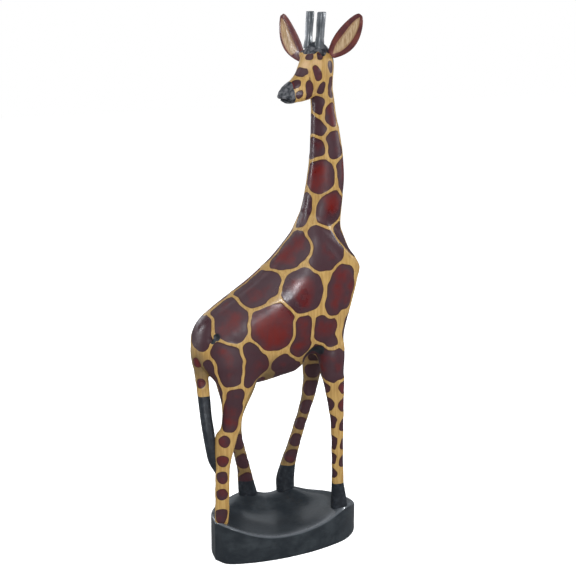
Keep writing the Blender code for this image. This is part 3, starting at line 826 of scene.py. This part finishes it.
def painted(points, black_below=None):
    """What the finish reads at points in mm: how far inside a patch or the black they are, the
    patch's tone (on the head's black, a painted sheen), smoke and painted shade, a painted
    highlight, and polish."""
    wobbled = points + EDGE_WOBBLE * np.column_stack([
        ripple(points + shift, EDGE_WOBBLE_SIZE) for shift in WOBBLE_SHIFTS
    ])
    near, second, tone = nearest_two(wobbled, PATCHES)
    patch = np.minimum((second - near) / 2 - HALF_LINE, -near)
    x, y, z = wobbled.T
    # the armpit balls paint shade black into the recesses under the chest
    black = depth_in(wobbled, BLACK_AND_SHADE_BALLS + balls_from_head(HEAD_BLACK_BALLS))
    for (side_x, side_y), height in BLACK_FEET.items():
        here = (x * side_x > 0) & (y * side_y > 0)
        black = np.where(here, np.maximum(black, height - z), black)
    if black_below:
        black = np.maximum(black, black_below - z)
    nose, _, _ = into_head(wobbled).T
    start, middle, curve = MUZZLE
    on_head = z > HEAD_JOINT
    black = np.where(on_head, np.maximum(black, nose - start + curve * (z - middle) ** 2), black)
    behind, front, turn_from, turn_to = CROWN
    crown = np.interp(nose, (turn_from, turn_to), (behind, front))
    black = np.where(on_head, np.maximum(black, z - crown), black)
    # the black of the head gets a painted sheen that greys it, carried by the tone
    tone = np.where(black > -1, np.where(on_head, 1.0, 0.0), tone)
    return {
        "patch": patch, "tone": tone, "black": black,
        # the smoke layer also holds painted shade, and the pale layer is a painted highlight
        "smoke_and_shade": share_in(wobbled, SMOKE_AND_SHADE_BALLS, SMOKE_AND_SHADE_FADE),
        "pale": share_in(wobbled, balls_from_head(PAINTED_HIGHLIGHT_BALLS), PAINTED_HIGHLIGHT_FADE),
        "polish": share_in(wobbled, POLISH_BALLS, POLISH_FADE),
    }


# -------- finishes

class Finish:
    """A material, with short ways to build its nodes."""

    def __init__(self, name, coat, coat_roughness, specular=0.5):
        self.material = bpy.data.materials.new(name)
        self.material.use_nodes = True
        self.tree = self.material.node_tree
        self.shader = self.tree.nodes["Principled BSDF"]
        self.shader.inputs["Coat Weight"].default_value = coat
        self.shader.inputs["Coat Roughness"].default_value = coat_roughness
        self.shader.inputs["Specular IOR Level"].default_value = specular
        self.place = self.node("TexCoord").outputs["Object"]

    def node(self, kind):
        """A new node of this kind."""
        return self.tree.nodes.new("ShaderNode" + kind)

    def link(self, value, socket):
        """Feeds a socket from another one, or sets it to a number or a colour."""
        if isinstance(value, bpy.types.NodeSocket):
            self.tree.links.new(value, socket)
        elif isinstance(value, tuple):
            socket.default_value = (*value, 1)
        else:
            socket.default_value = value

    def attribute(self, name):
        """The values of a layer on the mesh."""
        node = self.node("Attribute")
        node.attribute_name = name
        return node.outputs["Fac"]

    def noise(self, size, stretch=(1, 1, 1), detail=3.0, roughness=0.55):
        """Noise with features about size mm across, drawn out along the axes by stretch."""
        mapping = self.node("Mapping")
        mapping.inputs["Scale"].default_value = [1 / s for s in stretch]
        self.link(self.place, mapping.inputs["Vector"])
        node = self.node("TexNoise")
        node.inputs["Scale"].default_value = 1 / (size * MM)
        node.inputs["Detail"].default_value = detail
        node.inputs["Roughness"].default_value = roughness
        self.link(mapping.outputs["Vector"], node.inputs["Vector"])
        return node.outputs["Fac"]

    def math(self, operation, a, b=0.0):
        """The result of an operation on two values."""
        node = self.node("Math")
        node.operation = operation
        self.link(a, node.inputs[0])
        self.link(b, node.inputs[1])
        return node.outputs[0]

    def ramp(self, value, low, high, to_low=0.0, to_high=1.0):
        """The value's run from low to high, smoothed and clamped, as to_low to to_high."""
        node = self.node("MapRange")
        node.interpolation_type = "SMOOTHSTEP"
        for socket, number in zip(("From Min", "From Max", "To Min", "To Max"),
                                  (low, high, to_low, to_high)):
            node.inputs[socket].default_value = number
        self.link(value, node.inputs["Value"])
        return node.outputs["Result"]

    def mix(self, factor, a, b):
        """Colour a where the factor is 0, b where it is 1."""
        node = self.node("Mix")
        node.data_type = "RGBA"
        self.link(factor, node.inputs["Factor"])
        colours = [socket for socket in node.inputs if socket.type == "RGBA"]
        self.link(a, colours[0])
        self.link(b, colours[1])
        return next(socket for socket in node.outputs if socket.type == "RGBA")

    def finish(self, colour, roughness, height=None, depth=0.1):
        """Sets the colour, the roughness, and a relief of depth mm."""
        self.link(colour, self.shader.inputs["Base Color"])
        self.link(roughness, self.shader.inputs["Roughness"])
        if height is not None:
            bump = self.node("Bump")
            bump.inputs["Distance"].default_value = depth * MM
            self.link(height, bump.inputs["Height"])
            self.link(bump.outputs["Normal"], self.shader.inputs["Normal"])
        return self.material


def spotted_finish():
    """Honey-coloured wood with stained patches, all under lacquer."""
    f = Finish("spotted_wood", coat=0.1, coat_roughness=0.25, specular=0.36)
    streaks = f.noise(2.2, (1, 1, 14), detail=4)
    clouds = f.noise(22, detail=3)
    # the bare wood: grain, clouds, smoke and painted shade, and a painted highlight
    bare = f.mix(f.ramp(streaks, 0.35, 0.68), (0.55, 0.34, 0.105), (0.42, 0.235, 0.062))
    bare = f.mix(f.ramp(clouds, 0.45, 0.75, 0, 0.45), bare, (0.36, 0.20, 0.06))
    # smoke, and painted shade on the far legs, tail and underside, darken the bare wood to olive
    # brown
    smoke_and_shade = f.math("MULTIPLY", f.attribute("smoke_and_shade"), f.ramp(clouds, 0.3, 0.7, 0.5, 0.9))
    bare = f.mix(smoke_and_shade, bare, (0.150, 0.098, 0.040))
    # a painted highlight on the forehead and brow lightens the bare wood
    bare = f.mix(f.math("MULTIPLY", f.attribute("pale"), 0.6), bare, (0.80, 0.54, 0.32))
    # the patches: redder where the clouds are dense and deep inside, burnt along the border
    patch = f.attribute("patch")
    redness = f.math("ADD", f.attribute("tone"), f.math("MULTIPLY", clouds, 1.7))
    redness = f.math("ADD", redness, f.ramp(patch, 1, 13, -1.15, -0.73))
    stain = f.mix(f.ramp(redness, 0.05, 0.95), (0.060, 0.022, 0.028), (0.155, 0.006, 0.003))
    stain = f.mix(f.ramp(streaks, 0.45, 0.8, 0, 0.35), stain, (0.05, 0.018, 0.02))
    stain = f.mix(f.ramp(patch, 0.2, 2.2, 0.65, 0), stain, (0.052, 0.014, 0.010))
    colour = f.mix(f.ramp(patch, -0.22, 0.22), bare, stain)
    # the black, with a painted sheen that turns it grey on the head
    painted_sheen = f.math("MULTIPLY", f.attribute("tone"), f.ramp(f.noise(5, detail=4), 0.38, 0.70))
    soot_and_sheen = f.mix(f.ramp(f.noise(5), 0.4, 0.75), (0.014, 0.017, 0.022), (0.034, 0.039, 0.047))
    soot_and_sheen = f.mix(painted_sheen, soot_and_sheen, (0.16, 0.157, 0.165))
    black = f.attribute("black")
    colour = f.mix(f.ramp(black, -0.3, 0.3), colour, soot_and_sheen)
    roughness = f.ramp(f.noise(7), 0.3, 0.75, 0.42, 0.56)
    roughness = f.math("SUBTRACT", roughness, f.ramp(f.attribute("polish"), 0, 1, 0, 0.22))
    height = f.math("ADD", streaks, f.math("MULTIPLY", f.noise(1.4, detail=2), 0.2))
    return f.finish(colour, roughness, height, 0.045)


def black_finish():
    """Blackened wood: thin polish, greyer where it is worn and where a sheen or reflection is
    painted on.
    """
    f = Finish("black_wood", coat=0.5, coat_roughness=0.2, specular=0.4)
    clouds = f.noise(16, (1.6, 1.6, 1), detail=5, roughness=0.62)
    colour = f.mix(f.ramp(clouds, 0.38, 0.72), (0.015, 0.020, 0.025), (0.037, 0.045, 0.051))
    grain = f.noise(1.6, (9, 1, 1), detail=4)
    colour = f.mix(f.ramp(grain, 0.5, 0.8, 0, 0.5), colour, (0.040, 0.047, 0.052))
    wear_and_sheen = f.attribute("wear_and_sheen")
    # grey where wear and a painted highlight lie on the base's lip and the horns; above 1, a
    # painted reflection down one horn
    colour = f.mix(f.ramp(wear_and_sheen, 0.0, 1.0, 0, 0.85), colour, (0.150, 0.160, 0.172))
    colour = f.mix(f.ramp(wear_and_sheen, 1.0, 1.9, 0, 0.9), colour, (0.46, 0.47, 0.50))
    roughness = f.ramp(clouds, 0.3, 0.75, 0.30, 0.5)
    roughness = f.math("SUBTRACT", roughness, f.ramp(wear_and_sheen, 0.2, 1.0, 0, 0.14))
    height = f.math("ADD", grain, f.noise(3.5, detail=4))
    return f.finish(colour, roughness, height, 0.12)


def ear_finish():
    """Stained outside, pale and drawn with fine strokes in the hollow."""
    f = Finish("ear_wood", coat=0.5, coat_roughness=0.22)
    inside = f.attribute("inside")
    strokes = f.noise(1.3, (1, 1, 9), detail=4)
    pale = f.mix(f.ramp(strokes, 0.35, 0.7), (0.58, 0.42, 0.25), (0.36, 0.215, 0.095))
    pale = f.mix(f.ramp(inside, 0.0, 2.6, 0.6, 0), pale, (0.30, 0.13, 0.05))
    clouds = f.noise(9, detail=3)
    stain = f.mix(f.ramp(clouds, 0.35, 0.75), (0.095, 0.022, 0.024), (0.17, 0.032, 0.020))
    colour = f.mix(f.ramp(inside, -0.3, 0.3), stain, pale)
    return f.finish(colour, f.ramp(clouds, 0.3, 0.7, 0.3, 0.5), strokes, 0.1)


def bare_finish():
    """Unstained dowel wood."""
    f = Finish("dowel_wood", coat=0.0, coat_roughness=0.3)
    grain = f.noise(1.2, (1, 1, 12), detail=4)
    colour = f.mix(f.ramp(grain, 0.35, 0.7), (0.62, 0.44, 0.22), (0.44, 0.27, 0.11))
    return f.finish(colour, f.ramp(grain, 0.3, 0.7, 0.5, 0.65), grain, 0.08)


# -------- pieces

def add_object(name, data):
    """A new object in the scene."""
    obj = bpy.data.objects.new(name, data)
    bpy.context.scene.collection.objects.link(obj)
    return obj


def add_piece(node, points, faces, finish, layers):
    """A piece from points in mm that stands for a CAD node and rides on the part's only body."""
    name = "carved_" + node
    mesh = bpy.data.meshes.new(name)
    mesh.from_pydata((points * MM).tolist(), [], faces)
    mesh.shade_smooth()
    mesh.set_sharp_from_angle(angle=math.radians(SHARP_ANGLE))
    for layer, values in layers.items():
        mesh.attributes.new(layer, "FLOAT", "POINT").data.foreach_set("value", values)
    mesh.materials.append(finish)
    piece = add_object(name, mesh)
    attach(piece, "root")
    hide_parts(node)


def owner(place):
    """The piece that a spot on the body's skin belongs to."""
    x, y, z = place
    if z > NECK_JOINT:
        return "neck"
    leg = leg_at(x, y)
    return leg if z < LEG_JOINTS[leg] else "torso"


def make_figure(finish):
    """Torso, neck, head, legs and tail."""
    points, quads = carve_body().skin()
    points = relieved(keeled(points), quads)
    cuts = [(NECK_JOINT, None), (HEAD_JOINT, None)]
    cuts += [(height, leg) for leg, height in LEG_JOINTS.items()]
    points, faces = severed(points, quads, cuts)
    groups = {}
    for face in faces:
        centre = points[list(face)].mean(0)
        if centre[2] < HEAD_JOINT:
            groups.setdefault(owner(centre), []).append(face)
    for name, group in groups.items():
        figure_piece(name, *capped(*compact(points, group), cuts), finish)

    points, quads = carve_head().skin()
    cuts = [(HEAD_JOINT, None)]
    points, faces = severed(relieved(points, quads), quads, cuts)
    faces = [face for face in faces if points[list(face)].mean(0)[2] > HEAD_JOINT]
    figure_piece("head", *capped(*compact(points, faces), cuts), finish)

    points, quads = carve_tail().skin()
    faces = [tuple(quad) for quad in quads.tolist()]
    figure_piece("tail", relieved(points, quads), faces, finish, BLACK_TUFT)


def figure_piece(name, points, faces, finish, black_below=None):
    """A painted piece of the figure."""
    add_piece(name, points, faces, finish, painted(points, black_below))


def make_ear(name, finish):
    """A pointed leaf with a thick rim round a hollow front."""
    root, tip, width, turn_out, rim_a, rim_b, bow, hollow_from = EARS[name]
    root, tip = Vector(root), Vector(tip)
    along = (tip - root).normalized()
    side = math.copysign(1, root.y)
    facing = Matrix.Rotation(side * math.radians(turn_out), 3, "Z") @ Vector((1, 0, 0))
    facing = (facing - along * facing.dot(along)).normalized()
    across = along.cross(facing)
    points, inside = [], []
    for t in np.linspace(0, 1, EAR_RINGS):
        # widest below the middle, drawn out to a blunt point
        swell = math.sin(math.pi * min(1, t * 0.9 + 0.09)) ** (0.8 - 0.25 * t) * 0.98 + 0.03
        half = width / 2 * swell
        # thickest a third of the way up, thin at the tip
        thick = EAR_THICK * (0.55 + 0.45 * math.sin(math.pi * min(1, t + 0.2)))
        thick *= min(1, (1 - t) * 9 + 0.25)
        # the hollow runs out towards the root and the tip
        depth = EAR_HOLLOW * max(0, math.sin(math.pi * min(1, t * 1.04))) ** 0.6
        depth *= min(1, t / (2 * hollow_from))
        middle = root.lerp(tip, t) + across * side * bow * math.sin(math.pi * t)
        pinch = abs((t - 0.5) / 0.46) ** 6  # draws the pale hollow to a point at either end
        for j in range(2 * EAR_ARC):
            on_front = j > EAR_ARC
            u = 3 - 2 * j / EAR_ARC if on_front else 2 * j / EAR_ARC - 1
            edge = min((u + 1) / rim_a, (1 - u) / rim_b)
            height = -thick * 0.75 * (1 - abs(u) ** 2.2)
            if on_front:
                rim = thick * 0.3 * math.sqrt(max(0, 1 - (1 - min(1, edge * 2)) ** 2))
                floor = depth * (1 - math.exp(-max(0, edge - 0.8) * 2.2)) * 1.15
                height = max(rim - floor, EAR_SHELL + height)
            point = middle + across * half * u + facing * height
            points.append(tuple(point))
            reach = (edge - 1 - pinch) * half * min(rim_a, rim_b)
            ends = min(t - hollow_from, 0.95 - t) * (tip - root).length
            inside.append(min(reach, ends) if on_front else -9)
    faces = loft_faces(EAR_RINGS, 2 * EAR_ARC)
    add_piece(name, from_head(points), faces, finish, {"inside": inside})


def make_horn(name, finish):
    """A flat-topped peg with faint knife facets."""
    foot, top, half_length, half_width = HORNS[name]
    foot, top = np.array(foot, float), np.array(top, float)
    u, v = oval(HORN_SQUARENESS)
    rings = []
    for t, swell in smooth_rows(HORN_PROFILE, 4):
        centre = foot + (top - foot) * min(t, 1)
        ring = centre + np.column_stack([u * half_length * swell, v * half_width * swell, 0 * u])
        rings.append(ring)
    points = from_head(np.vstack(rings))
    middle = from_head([(foot + top) / 2])[0]
    outward = points - middle
    outward[:, 2] = 0
    outward /= np.maximum(np.linalg.norm(outward, axis=1), 1)[:, None]
    facets = FACET_DEPTH * ripple(points * (1, 1, 0.35), FACET_SIZE)
    # wear and a painted sheen lighten the horns unevenly
    wear_and_sheen = 0.35 + 0.6 * np.clip(0.5 + ripple(points * (1, 1, 0.3), 4.5), 0, 1)
    # a painted reflection lightens one side of one horn
    if name == PAINTED_REFLECTION_HORN:
        painted_reflection = np.clip(outward @ (PAINTED_REFLECTION_SIDE @ head_axes()) * 2 - 0.4, 0, 1)
        wear_and_sheen += painted_reflection * np.interp(points[:, 2], *PAINTED_REFLECTION_HEIGHTS)
    points += outward * facets[:, None]
    faces = loft_faces(len(rings), RING_POINTS)
    add_piece(name, points, faces, finish, {"wear_and_sheen": wear_and_sheen})


def base_height(x, y):
    """Height of the base's top in mm: a flat with a dish gouged into it and a few foot pads."""
    low_x, low_y, low = BASE_DISH
    to_back, to_front, to_side = DISH_CURVE
    along = np.where(x < low_x, to_back, to_front)
    dish = low + along * (x - low_x) ** 2 + to_side * (y - low_y) ** 2
    level, slope_x, slope_y = BASE_FLAT
    flat = level + slope_x * x + slope_y * y
    height = -DISH_BLEND * np.logaddexp(-dish / DISH_BLEND, -flat / DISH_BLEND)
    for pad_x, pad_y, rise in FOOT_PADS:
        reach = ((x - pad_x) ** 2 + (y - pad_y) ** 2) / (2 * PAD_SPREAD ** 2)
        height = height + rise * np.exp(-reach)
    droop_from, droop = BASE_DROOP
    return height - droop * np.maximum(x - droop_from, 0) ** 2


def rolled(depth):
    """How far the top has sunk at a depth in mm inwards from the outline."""
    width, drop = LIP_ROLL
    return drop * np.maximum(1 - depth / width, 0) ** 2


def make_base(finish):
    """The block: a waved side, a rounded lip lightened by wear and a painted highlight, and the
    gouged top.
    """
    outline = smooth_rows(BASE_OUTLINE + BASE_OUTLINE[:1], 14)[:-1]
    radius = np.linalg.norm(outline, axis=1)
    wall_top = base_height(*outline.T) - rolled(0) - BASE_EDGE
    rings = []
    for inset, height in BASE_FOOT:
        rings.append(np.column_stack([outline * inset, 0 * radius + height]))
    for t in np.linspace(0, 1, 14):
        rings.append(np.column_stack([outline, SIDE_FROM + (wall_top - SIDE_FROM) * t]))
    side_rings = len(rings)
    wear_and_sheen = [0 * radius] * side_rings
    for angle in np.linspace(0, math.pi / 2, 8)[1:]:
        depth = BASE_EDGE * (1 - math.cos(angle))
        ring = outline * (1 - depth / radius)[:, None]
        drop = BASE_EDGE * (1 - math.sin(angle)) + rolled(depth)
        rings.append(np.column_stack([ring, base_height(*ring.T) - drop]))
        # the rounded lip is lightened by wear into a painted highlight line
        wear_and_sheen.append(0 * radius + math.sin(angle))
    for inset in np.linspace(1, 0, 64)[1:-1]:
        ring = outline * (1 - BASE_EDGE / radius)[:, None] * inset
        depth = radius - np.linalg.norm(ring, axis=1)
        rings.append(np.column_stack([ring, base_height(*ring.T) - rolled(depth)]))
        # a band of the top inside the lip is lightened by wear and a painted highlight
        wear_and_sheen.append(np.clip(1 - depth / LIP_WEAR_AND_SHEEN, 0, 1) ** 2)
    # long shallow gouge strokes on the top, knife waves round the side
    points = np.vstack(rings)
    on_side = np.arange(len(points)) < side_rings * len(outline)
    strokes = STROKE_DEPTH * ripple(points * (0.4, 1, 0.3), STROKE_SIZE)
    strokes += DENT_DEPTH * ripple(points, DENT_SIZE)
    points[:, 2] += np.where(on_side, 0, strokes)
    waves = SIDE_WAVE_DEPTH * ripple(points * (1, 1, 0.5), SIDE_WAVE_SIZE)
    outward = points[:, :2] / np.linalg.norm(points[:, :2], axis=1)[:, None]
    points[:, :2] -= outward * np.where(on_side, abs(waves), 0)[:, None]
    faces = loft_faces(len(rings), len(outline))
    add_piece("base", points, faces, finish, {"wear_and_sheen": np.concatenate(wear_and_sheen)})


# -------- floor, light and camera

def make_floor():
    """A pale floor that glows only to the camera, and is darker where the lacquer mirrors it."""
    bm = bmesh.new()
    bmesh.ops.create_grid(bm, x_segments=1, y_segments=1, size=FLOOR_SIZE)
    mesh = bpy.data.meshes.new("floor")
    bm.to_mesh(mesh)
    bm.free()
    f = Finish("pale_floor", coat=0, coat_roughness=0, specular=0.1)
    f.shader.inputs["Emission Color"].default_value = (1, 1, 1, 1)
    rays = f.node("LightPath").outputs
    glow = f.math("MULTIPLY", rays["Is Camera Ray"], FLOOR_GLOW)
    f.link(glow, f.shader.inputs["Emission Strength"])
    colour = f.mix(rays["Is Glossy Ray"], FLOOR_COLOUR, FLOOR_MIRRORED)
    mesh.materials.append(f.finish(colour, 0.9))
    add_object("floor", mesh)


def direction(azimuth, elevation):
    """Unit vector from the statue towards a place seen from the front at azimuth 0."""
    a, e = math.radians(azimuth), math.radians(elevation)
    return Vector((math.sin(a) * math.cos(e), -math.cos(a) * math.cos(e), math.sin(e)))


def add_light(name, azimuth, elevation, distance, size, energy, target):
    """A rectangular lamp that faces a point of the statue."""
    lamp = bpy.data.lights.new(name, "AREA")
    lamp.shape = "RECTANGLE"
    lamp.size, lamp.size_y = size
    lamp.energy = energy
    lamp.color = LAMP_COLOUR
    obj = add_object(name, lamp)
    obj.location = Vector(target) + direction(azimuth, elevation) * distance
    obj.rotation_euler = direction(azimuth, elevation).to_track_quat("Z", "Y").to_euler()


def make_studio():
    """The lamps, and surroundings that look white and light the statue a little."""
    world = bpy.data.worlds.new("studio")
    world.use_nodes = True
    bpy.context.scene.world = world
    tree = world.node_tree
    light = tree.nodes["Background"]
    light.inputs["Color"].default_value = (*SURROUND_COLOUR, 1)
    light.inputs["Strength"].default_value = SURROUND_LIGHT
    seen = tree.nodes.new("ShaderNodeBackground")
    seen.inputs["Color"].default_value = (1, 1, 1, 1)
    choice = tree.nodes.new("ShaderNodeMixShader")
    path = tree.nodes.new("ShaderNodeLightPath")
    tree.links.new(path.outputs["Is Camera Ray"], choice.inputs["Fac"])
    tree.links.new(light.outputs[0], choice.inputs[1])
    tree.links.new(seen.outputs[0], choice.inputs[2])
    tree.links.new(choice.outputs[0], tree.nodes["World Output"].inputs["Surface"])
    for lamp in LAMPS:
        add_light(*lamp)
    bpy.context.scene.view_settings.view_transform = "Standard"


def make_camera():
    """The camera at CAMERA_VIEW."""
    camera = bpy.data.cameras.new("camera")
    camera.lens = CAMERA_LENS
    obj = add_object("camera", camera)
    back = direction(*CAMERA_VIEW)
    obj.location = Vector(CAMERA_TARGET) + back * CAMERA_DISTANCE
    obj.rotation_euler = back.to_track_quat("Z", "Y").to_euler()
    bpy.context.scene.camera = obj


# -------- the scene

make_camera()
spotted = spotted_finish()
black = black_finish()
make_figure(spotted)
ear_wood = ear_finish()
for ear in EARS:
    make_ear(ear, ear_wood)
for horn in HORNS:
    make_horn(horn, black)
make_base(black)
bare = bare_finish()
for name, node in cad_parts.items():
    if "dowel" in name or "pin" in name:
        node.data.materials.clear()
        node.data.materials.append(bare)
make_floor()
make_studio()
